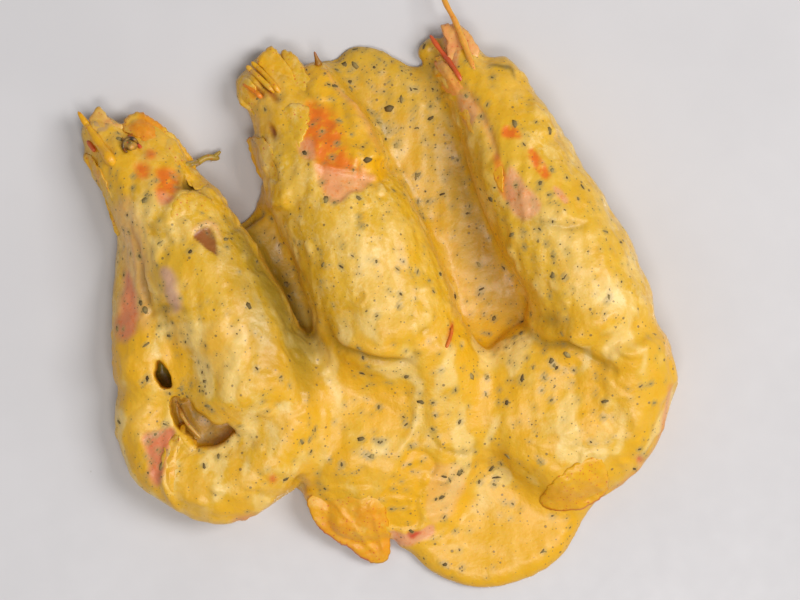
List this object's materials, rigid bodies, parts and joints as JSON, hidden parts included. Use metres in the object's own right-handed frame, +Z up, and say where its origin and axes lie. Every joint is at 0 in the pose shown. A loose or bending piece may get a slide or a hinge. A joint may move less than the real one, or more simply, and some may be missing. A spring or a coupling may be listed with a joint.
{
  "type": "dish of prawns in truffle sauce",
  "caption": "Wide round white plate with whole head-on prawns lying on their sides in a thick yellow truffle cream sauce.",
  "frame": {"origin": "middle of the plate's foot ring, on the surface that the plate stands on", "axes": "+Z up out of the plate; seen from above the prawns' heads point to -X +Y and their tails curl in towards -Y"},
  "size_m": [0.3, 0.3, 0.031],
  "materials": {
    "porcelain": "glazed white porcelain, smooth and glossy",
    "prawn_shell": "cooked prawn shell, orange to pink, wet with sauce",
    "truffle_cream": "thick glossy mustard-yellow cream sauce with dark truffle flakes"
  },
  "bodies": {
    "root": {"plate": "porcelain", "prawn_left": "prawn_shell", "prawn_middle": "prawn_shell", "prawn_right": "prawn_shell", "truffle_sauce": "truffle_cream"}
  },
  "joints": []
}
